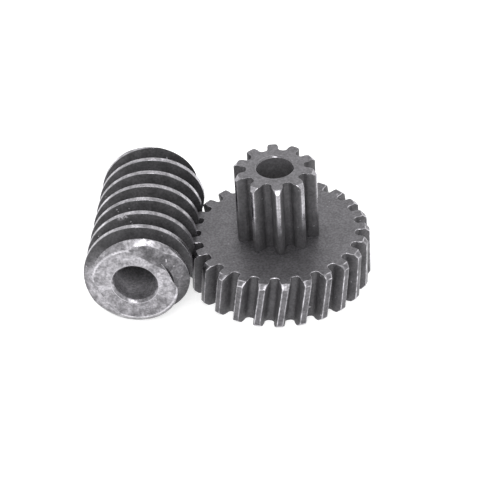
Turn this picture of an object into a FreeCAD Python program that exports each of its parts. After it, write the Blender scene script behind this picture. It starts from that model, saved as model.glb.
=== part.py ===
import FreeCAD, Part
import math
import os

# Worm gear set: a double-start worm and a compound gear (helical wheel and spur pinion) on a flanged bush.
# Millimetres, +Z up. The gear axis is Z, the worm axis is parallel to Y, the wheel's underside is Z = 0.

# thread and tooth system shared by the worm and the wheel
module = 1.0
pressure_angle = math.radians(20.0)
tan_pressure = math.tan(pressure_angle)

# worm
worm_starts = 2
worm_tip_r = 7.5
worm_reference_r = 6.5
worm_root_r = 5.3
worm_thinning = 0.15
worm_root_fillet = 0.28
worm_bore_r = 3.0
worm_bore_chamfer = 0.36
worm_face_r = 5.96
worm_cone_length = 1.22
worm_near_y = -12.8
worm_far_y = 10.8
facet_chord_r = 4.45
facet_slope = 0.3115
facet_turn = math.radians(67.0)
worm_lead = worm_starts * math.pi * module

# helical wheel
wheel_teeth = 25
wheel_reference_r = wheel_teeth * module / 2.0
wheel_shift = -0.15
wheel_tip_r = 13.07
wheel_root_r = 11.05
wheel_thinning = 0.145
wheel_root_fillet = 0.52
wheel_width = 7.75
wheel_chamfer = 0.60
wheel_helix = math.atan(worm_lead / (2.0 * math.pi * worm_reference_r))
wheel_lead = 2.0 * math.pi * wheel_reference_r / math.tan(wheel_helix)

# spur pinion
pinion_teeth = 10
pinion_shift = 0.0
pinion_thinning = 0.05
pinion_tip_r = 6.00
pinion_root_r = 4.06
pinion_root_fillet = 0.58
pinion_tip_round = 0.26
pinion_crown_round = 0.42
pinion_top_z = 18.85
pinion_chamfer = 0.56
pinion_phase = math.radians(-81.4)
pinion_bore_r = 2.50
pinion_bore_chamfer = 0.26
spigot_r = 3.70
spigot_chamfer = 0.20

# flanged bush inside the compound gear
bush_outer_r = 2.46
bush_bore_r = 1.50
bush_top_z = 14.40
bush_flange_r = 4.40
bush_flange_t = 0.96
bush_edge = 0.20
counterbore_r = 4.65
counterbore_depth = 1.00

# working position of the two axes, and the wheel's lean within the backlash
centre_distance = 19.00
worm_axis_z = worm_tip_r
mesh_y = 0.35
wheel_rest_turn = math.radians(0.25)

# margins of the cutting shapes, and spline points per curve
blank_margin = 0.2
overrun = 1.0
clear_r = 12.5
flank_points = 14
flank_crowding = 1.3
thread_points = 8
bend_points = 6

origin = FreeCAD.Vector(0, 0, 0)
x_axis = FreeCAD.Vector(1, 0, 0)
z_axis = FreeCAD.Vector(0, 0, 1)


def polar(radius, angle):
    return FreeCAD.Vector(radius * math.cos(angle), radius * math.sin(angle), 0)


def spline(points):
    curve = Part.BSplineCurve()
    curve.interpolate(points)
    return curve.toShape()


def involute(angle):
    return math.tan(angle) - angle


def twisted(section, base_z, height, lead, radius):
    """Sweeps a transverse section up the Z axis while it turns with the given lead."""
    spine = Part.Wire([Part.makeLine(FreeCAD.Vector(0, 0, base_z), FreeCAD.Vector(0, 0, base_z + height))])
    guide = Part.makeHelix(lead, height, radius)
    guide.translate(FreeCAD.Vector(0, 0, base_z))
    section.translate(FreeCAD.Vector(0, 0, base_z))
    sweep = Part.BRepOffsetAPI.MakePipeShell(spine)
    sweep.setAuxiliarySpine(Part.Wire(guide.Edges), True, 0)
    sweep.add(section)
    sweep.build()
    sweep.makeSolid()
    return sweep.shape()


def revolved(points):
    """Turns a closed outline of (radius, height) points about Z."""
    corners = [FreeCAD.Vector(r, 0, z) for r, z in points]
    outline = Part.makePolygon(corners + [corners[0]])
    return Part.Face(outline).revolve(origin, z_axis, 360)


def gear_section(teeth, shift, thinning, tip_r, root_r, fillet, phase, tip_round=0.0):
    """Closed transverse outline of an involute gear, its first tooth centred on the phase angle."""
    reference_r = teeth * module / 2.0
    base_r = reference_r * math.cos(pressure_angle)
    thickness = module * (math.pi / 2.0 + 2.0 * shift * tan_pressure) - thinning
    base_half = thickness / (2.0 * reference_r) + involute(pressure_angle)

    def half_angle(radius):
        if radius <= base_r:
            return base_half
        return base_half - involute(math.acos(base_r / radius))

    centre_r = root_r + fillet
    start_r = math.sqrt(centre_r ** 2 - fillet ** 2)
    turn = math.asin(fillet / centre_r)
    tip_pressure = math.acos(base_r / tip_r)
    corner_drop = tip_round * (1.0 - math.sin(tip_pressure))
    end_r = tip_r - corner_drop
    rise = end_r - start_r
    radii = [start_r + rise * (i / flank_points) ** flank_crowding for i in range(flank_points + 1)]
    land_half = half_angle(tip_r) - corner_drop / math.cos(tip_pressure) / tip_r

    def corner(on_flank, on_land, land_angle):
        centre = polar(tip_r - tip_round, land_angle)
        middle = (on_flank - centre) + (on_land - centre)
        middle.normalize()
        return Part.Arc(on_flank, centre + middle * tip_round, on_land).toShape()

    edges = []
    for k in range(teeth):
        mid = phase + 2.0 * math.pi * k / teeth
        following = mid + 2.0 * math.pi / teeth
        up = [polar(r, mid - half_angle(r)) for r in radii]
        down = [polar(r, mid + half_angle(r)) for r in reversed(radii)]
        land_start = polar(tip_r, mid - land_half)
        land_end = polar(tip_r, mid + land_half)
        edges.append(spline(up))
        if tip_round > 0:
            edges.append(corner(up[-1], land_start, mid - land_half))
            edges.append(corner(down[0], land_end, mid + land_half))
        edges.append(Part.Arc(land_start, polar(tip_r, mid), land_end).toShape())
        edges.append(spline(down))
        left = mid + base_half
        right = following - base_half
        for foot, side in ((left, 1.0), (right, -1.0)):
            centre = polar(centre_r, foot + side * turn)
            on_flank = polar(start_r, foot)
            on_root = polar(root_r, foot + side * turn)
            middle = (on_flank - centre) + (on_root - centre)
            middle.normalize()
            edges.append(Part.Arc(on_flank, centre + middle * fillet, on_root).toShape())
        floor_start = polar(root_r, left + turn)
        floor_end = polar(root_r, right - turn)
        edges.append(Part.Arc(floor_start, polar(root_r, (left + right) / 2.0), floor_end).toShape())
    return Part.Wire(Part.__sortEdges__(edges))


def worm_section(phase):
    """Closed transverse outline of the worm: flanks straight in the axial plane, roots filleted."""
    per_mm = 2.0 * math.pi / worm_lead
    reference_half = (math.pi * module / 2.0 - worm_thinning) / 2.0
    outer_r = worm_tip_r

    def flank(radius):
        return reference_half + (worm_reference_r - radius) * tan_pressure

    centre_r = worm_root_r + worm_root_fillet
    lift = worm_root_fillet * (1.0 - math.sin(pressure_angle))
    tangent_r = worm_root_r + lift
    centre_s = flank(tangent_r) + worm_root_fillet * math.cos(pressure_angle)
    bend = []
    for i in range(bend_points + 1):
        a = pressure_angle + (math.pi / 2.0 - pressure_angle) * i / bend_points
        bend.append((centre_r - worm_root_fillet * math.sin(a), centre_s - worm_root_fillet * math.cos(a)))
    side = [outer_r + (tangent_r - outer_r) * i / thread_points for i in range(thread_points + 1)]
    edges = []
    for k in range(worm_starts):
        mid = phase + 2.0 * math.pi * k / worm_starts
        following = mid + 2.0 * math.pi / worm_starts
        rise = [polar(r, mid - flank(r) * per_mm) for r in reversed(side)]
        fall = [polar(r, mid + flank(r) * per_mm) for r in side]
        leave = [polar(r, mid + s * per_mm) for r, s in bend]
        enter = [polar(r, following - s * per_mm) for r, s in reversed(bend)]
        edges.append(spline(rise))
        edges.append(Part.Arc(rise[-1], polar(outer_r, mid), fall[0]).toShape())
        edges.append(spline(fall))
        edges.append(spline(leave))
        groove = mid + math.pi / worm_starts
        edges.append(Part.Arc(leave[-1], polar(worm_root_r, groove), enter[0]).toShape())
        edges.append(spline(enter))
    return Part.Wire(Part.__sortEdges__(edges))


def end_facet(end_z, inward, angle):
    """Wedge that dresses a thread's feather edge off one end of the worm, deeper towards the outside."""
    outline = [
        (facet_chord_r, end_z),
        (clear_r, end_z + inward * facet_slope * (clear_r - facet_chord_r)),
        (clear_r, end_z - inward * overrun),
        (facet_chord_r, end_z - inward * overrun),
    ]
    corners = [FreeCAD.Vector(r, -clear_r, z) for r, z in outline]
    wedge = Part.Face(Part.makePolygon(corners + [corners[0]])).extrude(FreeCAD.Vector(0, 2.0 * clear_r, 0))
    wedge.rotate(origin, z_axis, math.degrees(angle))
    return wedge


# worm: thread swept along Z, its ends faced and coned and its bore cut, then laid along Y;
# the feather edge of the second start is dressed off at each end
ridge_phase = math.pi / worm_starts - 2.0 * math.pi * mesh_y / worm_lead
sweep_start = worm_near_y - overrun
sweep_height = worm_far_y - worm_near_y + 2.0 * overrun
start_angle = ridge_phase + 2.0 * math.pi * sweep_start / worm_lead
thread = twisted(worm_section(start_angle), sweep_start, sweep_height, worm_lead, worm_tip_r)
cone_slope = (worm_tip_r - worm_face_r) / worm_cone_length
past_cone = 2.0 * worm_cone_length
far_end = revolved([
    (0, worm_far_y),
    (worm_face_r, worm_far_y),
    (worm_face_r + cone_slope * past_cone, worm_far_y - past_cone),
    (clear_r, worm_far_y - past_cone),
    (clear_r, worm_far_y + 2.0 * overrun),
    (0, worm_far_y + 2.0 * overrun),
])
near_end = revolved([
    (0, worm_near_y),
    (worm_face_r, worm_near_y),
    (worm_face_r + cone_slope * past_cone, worm_near_y + past_cone),
    (clear_r, worm_near_y + past_cone),
    (clear_r, worm_near_y - 2.0 * overrun),
    (0, worm_near_y - 2.0 * overrun),
])
worm_bore = revolved([
    (0, worm_near_y - overrun),
    (worm_bore_r + worm_bore_chamfer + overrun, worm_near_y - overrun),
    (worm_bore_r, worm_near_y + worm_bore_chamfer),
    (worm_bore_r, worm_far_y - worm_bore_chamfer),
    (worm_bore_r + worm_bore_chamfer + overrun, worm_far_y + overrun),
    (0, worm_far_y + overrun),
])
worm = thread.cut(far_end).cut(near_end).cut(worm_bore)
near_ridge = ridge_phase + 2.0 * math.pi * worm_near_y / worm_lead
far_ridge = ridge_phase + 2.0 * math.pi * worm_far_y / worm_lead
dressed_start = 2.0 * math.pi / worm_starts
worm = worm.cut(end_facet(worm_near_y, 1.0, near_ridge + facet_turn + dressed_start))
worm = worm.cut(end_facet(worm_far_y, -1.0, far_ridge - facet_turn + dressed_start))
worm.rotate(origin, x_axis, -90)
worm.translate(FreeCAD.Vector(-centre_distance, 0, worm_axis_z))

# helical wheel: teeth swept with the wheel's lead, trimmed to a chamfered blank
contact_angle = math.pi - mesh_y / wheel_reference_r + wheel_rest_turn
base_angle = contact_angle - 2.0 * math.pi * (worm_axis_z + overrun) / wheel_lead
wheel_section = gear_section(
    wheel_teeth, wheel_shift, wheel_thinning, wheel_tip_r, wheel_root_r, wheel_root_fillet, base_angle)
teeth = twisted(wheel_section, -overrun, wheel_width + 2.0 * overrun, wheel_lead, wheel_reference_r)
wheel_blank = revolved([
    (spigot_r, counterbore_depth),
    (counterbore_r, counterbore_depth),
    (counterbore_r, bush_edge),
    (counterbore_r + bush_edge, 0),
    (wheel_tip_r - wheel_chamfer, 0),
    (wheel_tip_r + blank_margin, wheel_chamfer + blank_margin),
    (wheel_tip_r + blank_margin, wheel_width - wheel_chamfer - blank_margin),
    (wheel_tip_r - wheel_chamfer, wheel_width),
    (spigot_r, wheel_width),
])
wheel = wheel_blank.common(teeth)

# spur pinion: straight teeth above the wheel face, whose tips narrow to a rounded crown outline at the
# top, and a turned spigot through the wheel
shoulder_z = pinion_top_z - pinion_chamfer
pinion_outline = gear_section(
    pinion_teeth, pinion_shift, pinion_thinning, pinion_tip_r,
    pinion_root_r, pinion_root_fillet, pinion_phase, pinion_tip_round)
crown_outline = gear_section(
    pinion_teeth, pinion_shift, pinion_thinning, pinion_tip_r - pinion_chamfer,
    pinion_root_r, pinion_root_fillet, pinion_phase, pinion_crown_round)
pinion_body = Part.Face(pinion_outline).extrude(FreeCAD.Vector(0, 0, shoulder_z - wheel_width))
pinion_body.translate(FreeCAD.Vector(0, 0, wheel_width))
pinion_outline.translate(FreeCAD.Vector(0, 0, shoulder_z))
crown_outline.translate(FreeCAD.Vector(0, 0, pinion_top_z))
crown = Part.makeLoft([pinion_outline, crown_outline], True, True)
spigot = revolved([
    (0, counterbore_depth),
    (spigot_r - spigot_chamfer, counterbore_depth),
    (spigot_r, counterbore_depth + spigot_chamfer),
    (spigot_r, wheel_width + spigot_chamfer),
    (0, wheel_width + spigot_chamfer),
])
pinion_bore = revolved([
    (0, counterbore_depth),
    (pinion_bore_r + spigot_chamfer, counterbore_depth),
    (pinion_bore_r, counterbore_depth + spigot_chamfer),
    (pinion_bore_r, pinion_top_z - pinion_bore_chamfer),
    (pinion_bore_r + pinion_bore_chamfer, pinion_top_z),
    (0, pinion_top_z),
])
pinion = pinion_body.fuse(crown).fuse(spigot).removeSplitter().cut(pinion_bore)

# flanged bush: the fixed piece that the compound gear turns on
bush = revolved([
    (bush_bore_r, 0),
    (bush_flange_r - bush_edge, 0),
    (bush_flange_r, bush_edge),
    (bush_flange_r, bush_flange_t - bush_edge),
    (bush_flange_r - bush_edge, bush_flange_t),
    (bush_outer_r, bush_flange_t),
    (bush_outer_r, bush_top_z - bush_edge),
    (bush_outer_r - bush_edge, bush_top_z),
    (bush_bore_r + bush_edge, bush_top_z),
    (bush_bore_r, bush_top_z - bush_edge),
])

os.makedirs("parts", exist_ok=True)
nodes = {
    "worm": worm,
    "helical_wheel": wheel,
    "spur_pinion": pinion,
    "flanged_bush": bush,
}
for name, shape in nodes.items():
    print(name, "solids", len(shape.Solids), "valid", shape.isValid(), "volume", round(shape.Volume, 2))
    shape.Solids[0].exportStep("parts/" + name + ".step")
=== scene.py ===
import math

import bpy
from mathutils import Matrix, Vector

MM = 0.001

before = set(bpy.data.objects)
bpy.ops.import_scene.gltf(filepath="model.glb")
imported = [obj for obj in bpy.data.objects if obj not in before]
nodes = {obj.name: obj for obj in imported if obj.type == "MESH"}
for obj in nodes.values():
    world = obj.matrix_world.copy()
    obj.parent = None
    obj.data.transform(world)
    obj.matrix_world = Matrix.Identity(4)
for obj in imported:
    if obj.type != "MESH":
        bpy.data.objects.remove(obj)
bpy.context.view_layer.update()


# ---------------------------------------------------------------- camera
camera_target = Vector((-4.22, 0.0, 3.91)) * MM
camera_elevation = math.radians(38.16)
camera_azimuth = math.radians(7.47)
camera_roll = math.radians(-3.52)
camera_distance = 347.8 * MM
camera_near = 0.01
camera_far = 10.0
view_width = 71.96 * MM
sensor_width = 36.0

back = Vector((
    math.sin(camera_azimuth) * math.cos(camera_elevation),
    -math.cos(camera_azimuth) * math.cos(camera_elevation),
    math.sin(camera_elevation),
))
right = Vector((math.cos(camera_azimuth), math.sin(camera_azimuth), 0.0))
up = back.cross(right)
camera_x = right * math.cos(camera_roll) + up * math.sin(camera_roll)
camera_y = up * math.cos(camera_roll) - right * math.sin(camera_roll)
rotation = Matrix((camera_x, camera_y, back)).transposed()
camera_data = bpy.data.cameras.new("camera")
camera_data.sensor_width = sensor_width
camera_data.lens = sensor_width * camera_distance / view_width
camera_data.clip_start = camera_near
camera_data.clip_end = camera_far
camera = bpy.data.objects.new("camera", camera_data)
camera.matrix_world = Matrix.Translation(camera_target + back * camera_distance) @ rotation.to_4x4()
bpy.context.scene.collection.objects.link(camera)
bpy.context.scene.camera = camera


# ---------------------------------------------------------------- stage and light
floor_size = 3.0
floor_albedo = 0.75
floor_glow = 0.60
floor_mesh = bpy.data.meshes.new("floor")
half = floor_size / 2.0
floor_mesh.from_pydata(
    [(-half, -half, 0.0), (half, -half, 0.0), (half, half, 0.0), (-half, half, 0.0)], [], [(0, 1, 2, 3)])
floor = bpy.data.objects.new("floor", floor_mesh)
bpy.context.scene.collection.objects.link(floor)
floor_material = bpy.data.materials.new("floor_white")
floor_material.use_nodes = True
floor_shader = floor_material.node_tree.nodes["Principled BSDF"]
floor_shader.inputs["Base Color"].default_value = (floor_albedo, floor_albedo, floor_albedo, 1.0)
floor_shader.inputs["Roughness"].default_value = 1.0
floor_shader.inputs["Specular IOR Level"].default_value = 0.0
floor_shader.inputs["Emission Color"].default_value = (1.0, 1.0, 1.0, 1.0)
floor_shader.inputs["Emission Strength"].default_value = floor_glow
floor_mesh.materials.append(floor_material)

world = bpy.data.worlds.new("studio")
world.use_nodes = True
world.node_tree.nodes["Background"].inputs["Color"].default_value = (1.0, 1.0, 1.0, 1.0)
world.node_tree.nodes["Background"].inputs["Strength"].default_value = 1.0
bpy.context.scene.world = world
bpy.context.scene.view_settings.view_transform = "Standard"

softbox_width = 0.16
softbox_height = 0.24
softbox_distance = 0.60
softbox_power = 1.1
softbox_direction = Vector((0.06, -0.70, 0.71)).normalized()
softbox_data = bpy.data.lights.new("softbox", "AREA")
softbox_data.shape = "RECTANGLE"
softbox_data.size = softbox_width
softbox_data.size_y = softbox_height
softbox_data.energy = softbox_power
softbox = bpy.data.objects.new("softbox", softbox_data)
softbox.location = softbox_direction * softbox_distance
softbox.rotation_euler = softbox_direction.to_track_quat("Z", "Y").to_euler()
bpy.context.scene.collection.objects.link(softbox)


# ---------------------------------------------------------------- shader helpers
class Graph:
    """Builds one metal's node graph. Lengths in it are millimetres in the piece's own space."""

    def __init__(self, name):
        self.material = bpy.data.materials.new(name)
        self.material.use_nodes = True
        self.tree = self.material.node_tree
        self.shader = self.tree.nodes["Principled BSDF"]
        coordinate = self.tree.nodes.new("ShaderNodeTexCoord")
        scale = self.tree.nodes.new("ShaderNodeVectorMath")
        scale.operation = "SCALE"
        scale.inputs["Scale"].default_value = 1.0 / MM
        self.tree.links.new(coordinate.outputs["Object"], scale.inputs[0])
        self.point = scale.outputs[0]
        self.x, self.y, self.z = self.split(self.point)
        self.normal_z = self.split(coordinate.outputs["Normal"])[2]

    def split(self, vector):
        node = self.tree.nodes.new("ShaderNodeSeparateXYZ")
        self.tree.links.new(vector, node.inputs[0])
        return node.outputs

    def feed(self, value, socket):
        if isinstance(value, bpy.types.NodeSocket):
            self.tree.links.new(value, socket)
        else:
            socket.default_value = value

    def math(self, operation, *values):
        node = self.tree.nodes.new("ShaderNodeMath")
        node.operation = operation
        for value, socket in zip(values, node.inputs):
            self.feed(value, socket)
        return node.outputs[0]

    def ramp(self, value, start, end, low=0.0, high=1.0):
        """Goes smoothly from low to high while value goes from start to end."""
        node = self.tree.nodes.new("ShaderNodeMapRange")
        node.interpolation_type = "SMOOTHSTEP"
        for name, setting in (("From Min", start), ("From Max", end), ("To Min", low), ("To Max", high)):
            node.inputs[name].default_value = setting
        self.feed(value, node.inputs["Value"])
        return node.outputs["Result"]

    def lerp(self, factor, low, high):
        node = self.tree.nodes.new("ShaderNodeMix")
        node.data_type = "FLOAT"
        for value, socket in zip((factor, low, high), (node.inputs[0], node.inputs[2], node.inputs[3])):
            self.feed(value, socket)
        return node.outputs[0]

    def vector(self, *values):
        node = self.tree.nodes.new("ShaderNodeCombineXYZ")
        for value, socket in zip(values, node.inputs):
            self.feed(value, socket)
        return node.outputs[0]

    def noise(self, per_mm, detail=3.0, vector=None):
        node = self.tree.nodes.new("ShaderNodeTexNoise")
        node.inputs["Scale"].default_value = per_mm
        node.inputs["Detail"].default_value = detail
        self.tree.links.new(vector or self.point, node.inputs["Vector"])
        return node.outputs[0]

    def patch(self, centre_x, centre_y, half_x, half_y):
        """1 inside a soft-edged ellipse in plan, 0 outside it."""
        across = self.math("DIVIDE", self.math("SUBTRACT", self.x, centre_x), half_x)
        along = self.math("DIVIDE", self.math("SUBTRACT", self.y, centre_y), half_y)
        return self.ramp(self.radius(across, along), 1.0, 0.5)

    def radius(self, a, b):
        return self.math("SQRT", self.math("ADD", self.math("MULTIPLY", a, a), self.math("MULTIPLY", b, b)))

    def finish(self, grey, roughness, metallic, height, tint, bump_mm=0.004):
        """Sets the grey level, the roughness, the share of bare metal and a shallow bump."""
        colour = self.tree.nodes.new("ShaderNodeCombineColor")
        for share, socket in zip(tint, colour.inputs):
            self.tree.links.new(self.math("MULTIPLY", grey, share), socket)
        self.tree.links.new(colour.outputs[0], self.shader.inputs["Base Color"])
        self.tree.links.new(roughness, self.shader.inputs["Roughness"])
        self.feed(metallic, self.shader.inputs["Metallic"])
        bump = self.tree.nodes.new("ShaderNodeBump")
        bump.inputs["Strength"].default_value = 1.0
        bump.inputs["Distance"].default_value = bump_mm * MM
        self.tree.links.new(height, bump.inputs["Height"])
        self.tree.links.new(bump.outputs[0], self.shader.inputs["Normal"])
        return self.material


def mottled(graph, cloud, grain):
    """Multiplier around 1 from coarse cloudy patches and fine grain."""
    patches = graph.ramp(graph.noise(0.55), 0.32, 0.68, 1.0 - cloud, 1.0 + cloud)
    specks = graph.ramp(graph.noise(3.2, 3.0), 0.32, 0.68, 1.0 - grain, 1.0 + grain)
    return graph.math("MULTIPLY", patches, specks)


def glints(graph):
    """Sparse tiny spots where the oxide is knocked off."""
    return graph.ramp(graph.noise(1.7, 1.0), 0.75, 0.79)


# ---------------------------------------------------------------- sizes of the pieces, in millimetres
worm_axis_x = -19.0
worm_axis_z = 7.5
worm_tip_r = 7.5
worm_root_r = 5.3
worm_bore_r = 3.0
worm_bore_chamfer = 0.36
worm_face_r = 5.96
worm_cone_length = 1.22
worm_near_y = -12.8
worm_far_y = 10.8
worm_middle_y = (worm_near_y + worm_far_y) / 2.0
worm_half_length = (worm_far_y - worm_near_y) / 2.0
worm_pitch_r = 6.5
mesh_shift_y = 0.35

# a small nick on the worm's crest, seen in plan
nick_x = -20.9
nick_y = -6.75
nick_half_x = 1.0
nick_half_y = 0.35

wheel_pitch_r = 12.5
wheel_turn_per_mm = 1.0 / worm_pitch_r / wheel_pitch_r
wheel_rest_turn = math.radians(0.25)
wheel_tooth_angle = math.pi - mesh_shift_y / wheel_pitch_r + wheel_rest_turn
wheel_tooth_angle -= worm_axis_z * wheel_turn_per_mm
wheel = {
    "teeth": 25,
    "tooth_angle": wheel_tooth_angle,
    "turn_per_mm": wheel_turn_per_mm,
    "tip_r": 13.07,
    "root_r": 11.05,
    "bore_r": 3.7,
    "land_half": 0.443,
    "land_wear_and_sheen_above_z": -2.0,
}
pinion = {
    "teeth": 10,
    "tooth_angle": math.radians(-81.4),
    "turn_per_mm": 0.0,
    "tip_r": 6.00,
    "root_r": 4.06,
    "bore_r": 2.5,
    "land_half": 0.24,
    # the pinion's lands are bright only above this height: the worn land colour is real, the cut-off at
    # this height is a painted reflection
    "land_wear_and_sheen_above_z": 12.2,
}

# grey levels are linear reflectances
steel_tint = (1.01, 0.985, 1.045)
bronze_tint = (1.0, 0.76, 0.50)
wheel_greys = {
    "face": 0.17,
    "land": 0.13,
    "edge": 0.38,
    "flank": 0.095,
    "root": 0.095,
    "chamfer": 0.20,
    "bore": 0.10,
}
pinion_greys = {
    "face": 0.195,
    "land": 0.30,
    "edge": 0.42,
    "flank": 0.082,
    "root": 0.078,
    "chamfer": 0.45,
    "bore": 0.12,
}
wheel_tip_roughness = 0.36
pinion_tip_roughness = 0.20


# ---------------------------------------------------------------- gear metals
def gear_metal(name, gear, tip_roughness, greys):
    """Oxidised gear steel: grey faces, darker flanks, and bright worn tooth lands, whose brightness is
    painted only above one height as a painted reflection.
    """
    graph = Graph(name)
    tip_r = gear["tip_r"]
    root_r = gear["root_r"]
    land_half = gear["land_half"]

    # place on the tooth: radius, and distance along the arc from the middle of the nearest tooth
    radius = graph.radius(graph.x, graph.y)
    angle = graph.math("SUBTRACT", graph.math("ARCTAN2", graph.y, graph.x), gear["tooth_angle"])
    angle = graph.math("SUBTRACT", angle, graph.math("MULTIPLY", graph.z, gear["turn_per_mm"]))
    pitch = 2.0 * math.pi / gear["teeth"]
    angle = graph.math("WRAP", angle, pitch / 2.0, -pitch / 2.0)
    off_centre = graph.math("ABSOLUTE", graph.math("MULTIPLY", angle, radius))

    # masks
    upward = graph.ramp(graph.normal_z, 0.85, 0.97)
    sloping = graph.math("SUBTRACT", graph.ramp(graph.normal_z, 0.35, 0.5), upward)
    toothed = graph.math("MULTIPLY", sloping, graph.ramp(radius, root_r - 0.1, root_r))
    # lands are lightened only above a height: real wear on the lands, with the height cut-off a painted
    # reflection
    land_wear_and_sheen_height = graph.ramp(graph.z, gear["land_wear_and_sheen_above_z"] - 1.5, gear["land_wear_and_sheen_above_z"] + 1.5)
    near_tip = graph.math("MULTIPLY", graph.ramp(radius, tip_r - 0.30, tip_r - 0.05), land_wear_and_sheen_height)
    outer = graph.math("MULTIPLY", graph.ramp(radius, tip_r - 0.05, tip_r - 0.02), land_wear_and_sheen_height)
    outer = graph.math("MULTIPLY", outer, graph.ramp(off_centre, land_half + 0.10, land_half))
    inner = graph.ramp(radius, root_r + 0.40, root_r + 0.02)
    bore = graph.ramp(radius, gear["bore_r"] + 0.05, gear["bore_r"] + 0.01)
    rubbed = graph.ramp(graph.noise(1.1), 0.36, 0.64, 0.35, 1.0)
    corner = graph.math("MULTIPLY", graph.ramp(off_centre, land_half - 0.20, land_half - 0.03), rubbed)

    # grey level
    grey = graph.lerp(inner, greys["flank"], greys["root"])
    grey = graph.lerp(graph.math("MULTIPLY", near_tip, 0.3), grey, greys["land"])
    grey = graph.lerp(outer, grey, graph.lerp(corner, greys["land"], greys["edge"]))
    grey = graph.lerp(sloping, grey, greys["face"])
    grey = graph.lerp(toothed, grey, graph.lerp(corner, greys["chamfer"], greys["edge"]))
    grey = graph.lerp(upward, grey, greys["face"])
    grey = graph.lerp(bore, grey, greys["bore"])
    grey = graph.lerp(glints(graph), grey, 0.35)
    wear = graph.lerp(upward, mottled(graph, 0.15, 0.20), mottled(graph, 0.08, 0.22))
    grey = graph.math("MULTIPLY", grey, wear)
    rings = graph.noise(1.0, 2.0, graph.vector(graph.math("MULTIPLY", radius, 7.0), 0.0, 0.0))
    grey = graph.math("MULTIPLY", grey, graph.lerp(upward, 1.0, graph.ramp(rings, 0.3, 0.7, 0.93, 1.07)))

    # roughness, bare metal and bump
    worn = graph.math("MAXIMUM", graph.math("MAXIMUM", outer, sloping), upward)
    oxide_roughness = graph.ramp(graph.noise(1.6), 0.3, 0.7, 0.50, 0.64)
    worn_roughness = graph.ramp(graph.noise(1.9), 0.3, 0.7, tip_roughness - 0.04, tip_roughness + 0.04)
    roughness = graph.lerp(worn, oxide_roughness, worn_roughness)
    roughness = graph.lerp(upward, roughness, graph.ramp(rings, 0.3, 0.7, 0.38, 0.50))
    roughness = graph.lerp(bore, roughness, 0.7)
    metallic = graph.lerp(worn, 0.5, 1.0)
    metallic = graph.lerp(upward, metallic, 0.75)
    height = graph.lerp(upward, graph.noise(5.0, 3.0), graph.math("ADD", rings, graph.noise(7.0, 2.0)))
    return graph.finish(grey, roughness, metallic, height, steel_tint)


def edge_metal(name, grey_low, grey_high, tint=steel_tint, end_grey=None):
    """Burnished metal of the rounded edges, where the oxide has rubbed off in places."""
    graph = Graph(name)
    grey = graph.ramp(graph.noise(1.3), 0.35, 0.65, grey_low, grey_high)
    if end_grey is not None:
        grey = graph.lerp(graph.ramp(graph.y, worm_near_y + 1.1, worm_near_y + 0.9), grey, end_grey)
    roughness = graph.ramp(graph.noise(2.5), 0.3, 0.7, 0.20, 0.32)
    return graph.finish(grey, roughness, 1.0, graph.noise(6.0, 2.0), tint)


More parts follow.
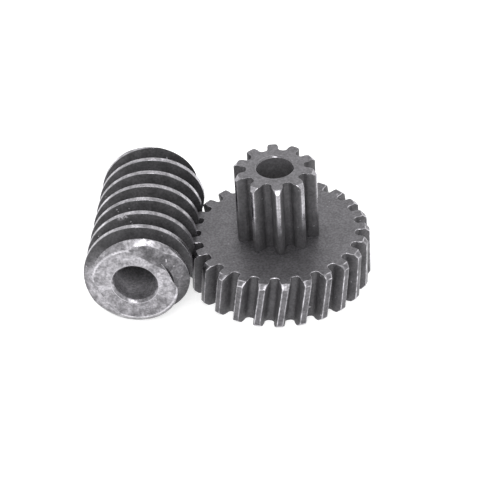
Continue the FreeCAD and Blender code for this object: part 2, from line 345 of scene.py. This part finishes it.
# ---------------------------------------------------------------- worm metal
def worm_metal():
    """Dark thread flanks, a bright ground crest, and a bare near end that fades into the first turn."""
    graph = Graph("worm_steel_look")

    # place on the worm: around its axis, and depth below the nearer end face
    across = graph.math("SUBTRACT", graph.x, worm_axis_x)
    rise = graph.math("SUBTRACT", graph.z, worm_axis_z)
    radius = graph.radius(across, rise)
    from_middle = graph.math("ABSOLUTE", graph.math("SUBTRACT", graph.y, worm_middle_y))
    depth = graph.math("SUBTRACT", worm_half_length, from_middle)

    # masks
    crest = graph.ramp(radius, worm_tip_r - 0.06, worm_tip_r - 0.02)
    cone_rise = worm_cone_length / (worm_tip_r - worm_face_r)
    cone_depth = graph.math("MULTIPLY", graph.math("SUBTRACT", radius, worm_face_r), cone_rise)
    behind = graph.math("SUBTRACT", depth, graph.math("MAXIMUM", cone_depth, 0.0))
    near_half = graph.ramp(graph.y, worm_middle_y + 1.0, worm_middle_y - 1.0)
    bare = graph.math("MULTIPLY", graph.ramp(behind, 0.08, 0.04), near_half)
    lip = graph.math("MULTIPLY", graph.ramp(radius, worm_bore_r + 0.5, worm_bore_r + 0.45),
                     graph.ramp(depth, worm_bore_chamfer + 0.02, worm_bore_chamfer - 0.02))
    bare = graph.math("MAXIMUM", bare, lip)
    bore = graph.math("MULTIPLY", graph.ramp(radius, worm_bore_r + 0.05, worm_bore_r + 0.01),
                      graph.ramp(depth, worm_bore_chamfer - 0.05, worm_bore_chamfer))
    first_turn = graph.math("MULTIPLY", graph.ramp(depth, 2.4, 1.2), near_half)
    last_turn = graph.ramp(graph.y, worm_far_y - 1.6, worm_far_y - 1.0)
    root = graph.ramp(radius, worm_root_r + 0.5, worm_root_r + 0.05)
    rim = graph.math("ABSOLUTE", graph.math("SUBTRACT", radius, worm_face_r))
    rim = graph.math("MULTIPLY", graph.ramp(rim, 0.20, 0.08), bare)
    nick = graph.patch(nick_x, nick_y, nick_half_x, nick_half_y)
    nick = graph.math("MULTIPLY", nick, graph.ramp(radius, worm_tip_r - 0.6, worm_tip_r - 0.2))
    nick = graph.math("MULTIPLY", nick, graph.ramp(rise, 0.0, 0.1))
    nick = graph.math("MULTIPLY", nick, graph.ramp(graph.noise(3.5), 0.40, 0.55))

    # grey levels of the stained end with painted shade and sheen, the dull first turn and the crest
    stain_and_painted_light = graph.ramp(graph.noise(1.3, 6.0), 0.34, 0.66, 0.24, 0.42)
    # radial streaks by angle around the end: partly the turned face's real marks, partly a painted
    # fan-shaped sheen
    fan = graph.math("ARCTAN2", rise, across)
    fan = graph.noise(1.0, 2.0, graph.vector(graph.math("MULTIPLY", fan, 2.5), 0.0, 0.0))
    stain_and_painted_light = graph.math("MULTIPLY", stain_and_painted_light, graph.ramp(fan, 0.35, 0.65, 0.85, 1.15))
    # painted shade: the end is painted darker towards its bottom and on the recessed cone and facets
    stain_and_painted_light = graph.math("MULTIPLY", stain_and_painted_light, graph.ramp(rise, -5.5, 1.0, 0.74, 0.98))
    stain_and_painted_light = graph.math("MULTIPLY", stain_and_painted_light, graph.ramp(depth, 0.02, 0.08, 1.0, 0.88))
    side = graph.ramp(across, -1.0, 3.0, 1.0, 0.45)
    dull = graph.math("MULTIPLY", graph.ramp(graph.noise(0.9, 4.0), 0.36, 0.64, 0.20, 0.37), side)
    polish = graph.ramp(graph.noise(0.9), 0.35, 0.65, 0.31, 0.52)

    # grey level
    grey = graph.lerp(root, 0.066, 0.060)
    grey = graph.lerp(first_turn, grey, dull)
    grey = graph.lerp(graph.math("SUBTRACT", crest, last_turn), grey, polish)
    grey = graph.lerp(bare, grey, stain_and_painted_light)
    grey = graph.lerp(rim, grey, 0.54)
    # painted shade: the bore wall is painted darker the deeper it lies
    grey = graph.lerp(bore, grey, graph.ramp(depth, 3.0, 5.0, 0.27, 0.18))
    grey = graph.lerp(glints(graph), grey, 0.45)
    grey = graph.lerp(nick, grey, 0.42)
    grey = graph.math("MULTIPLY", grey, mottled(graph, 0.20, 0.24))

    # roughness and bare metal
    worn = graph.math("MAXIMUM", graph.math("MAXIMUM", crest, bare), first_turn)
    roughness = graph.lerp(worn, graph.ramp(graph.noise(1.6), 0.3, 0.7, 0.50, 0.64),
                           graph.ramp(graph.noise(1.2, 4.0), 0.3, 0.7, 0.26, 0.42))
    roughness = graph.lerp(bore, roughness, 0.75)
    metallic = graph.lerp(worn, 0.5, 1.0)
    return graph.finish(grey, roughness, metallic, graph.noise(5.0, 3.0), steel_tint)


def bush_metal():
    """Oiled bronze with a soft mottle."""
    graph = Graph("bush_bronze_look")
    grey = graph.ramp(graph.noise(1.5, 4.0), 0.3, 0.7, 0.28, 0.42)
    roughness = graph.ramp(graph.noise(2.0), 0.3, 0.7, 0.38, 0.52)
    return graph.finish(grey, roughness, 1.0, graph.noise(9.0, 2.0), bronze_tint)


def dress(name, material, edge_material, width, least_angle=28.0):
    """Gives a node its metal, and rounds the edges that turn by more than an angle with burnished metal."""
    node = nodes[name]
    node.data.materials.clear()
    node.data.materials.append(material)
    node.data.materials.append(edge_material)
    weld = node.modifiers.new("weld", "WELD")
    weld.merge_threshold = 0.002 * MM
    merge = node.modifiers.new("merge_flat_faces", "DECIMATE")
    merge.decimate_type = "DISSOLVE"
    merge.angle_limit = math.radians(0.5)
    bevel = node.modifiers.new("edge_rounding", "BEVEL")
    bevel.width = width * MM
    bevel.segments = 2
    bevel.limit_method = "ANGLE"
    bevel.angle_limit = math.radians(least_angle)
    bevel.material = 1
    bevel.use_clamp_overlap = False
    bevel.harden_normals = True


dress("worm", worm_metal(), edge_metal("worm_edge", 0.26, 0.46, end_grey=0.55), 0.03, 40.0)
dress("helical_wheel",
      gear_metal("wheel_look", wheel, wheel_tip_roughness, wheel_greys),
      edge_metal("wheel_edge", 0.22, 0.62), 0.08)
dress("spur_pinion",
      gear_metal("pinion_look", pinion, pinion_tip_roughness, pinion_greys),
      edge_metal("pinion_edge", 0.20, 0.45), 0.03)
dress("flanged_bush", bush_metal(), edge_metal("bush_edge", 0.25, 0.35, bronze_tint), 0.03)
